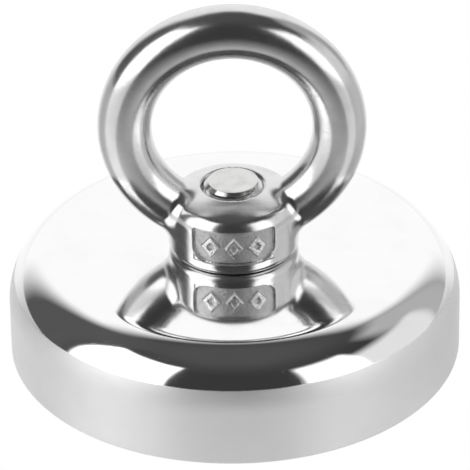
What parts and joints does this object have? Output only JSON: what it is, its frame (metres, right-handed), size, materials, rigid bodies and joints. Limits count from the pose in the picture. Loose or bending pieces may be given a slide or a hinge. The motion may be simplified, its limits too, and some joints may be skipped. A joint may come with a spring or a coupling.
{
  "type": "magnet fishing magnet",
  "caption": "Round steel pot magnet with an eye nut on top: a neodymium ring in a plated cup, held to a rope by a ring-shaped lifting eye on a countersunk screw.",
  "frame": {"origin": "centre of the pulling face, on the plane of the pot's open rim", "axes": "+Z from the pulling face towards the eye; the eye's ring stands in the XZ plane and the rope runs through it along Y; the marked side of the boss faces -Y"},
  "size_m": [0.06, 0.06, 0.0506],
  "materials": {
    "nickel_plate": "mirror-bright nickel plate, satin on the turned side wall",
    "magnet_plate": "bright nickel plate, lightly scuffed",
    "adhesive": "cured grey structural adhesive",
    "resin": "black potting resin, semi-gloss",
    "turned_steel": "lathe-turned, fine rings",
    "screw_stainless": "bright stainless",
    "polished_stainless": "mirror-polished cast stainless, grainy in the recessed panel"
  },
  "bodies": {
    "pot": {"steel_pot": "nickel_plate", "adhesive_bed": "adhesive", "ring_magnet": "magnet_plate", "outer_resin_ring": "resin", "inner_resin_ring": "resin", "centre_bush": "turned_steel"},
    "screw": {"countersunk_screw": "screw_stainless"},
    "eye": {"eye_nut": "polished_stainless"}
  },
  "joints": [
    {"name": "screw_turn", "type": "hinge", "parent": "pot", "child": "screw", "pos_m": [0, 0, 0], "axis": [0, 0, -1], "range_deg": [0, 2880]},
    {"name": "eye_nut_lift", "type": "slide", "parent": "pot", "child": "eye", "axis": [0, 0, 1], "range_m": [0, 0.01]}
  ],
  "couplings": [
    {"joint": "screw_turn", "follows": "eye_nut_lift", "rad_per_m": 5026.5}
  ]
}
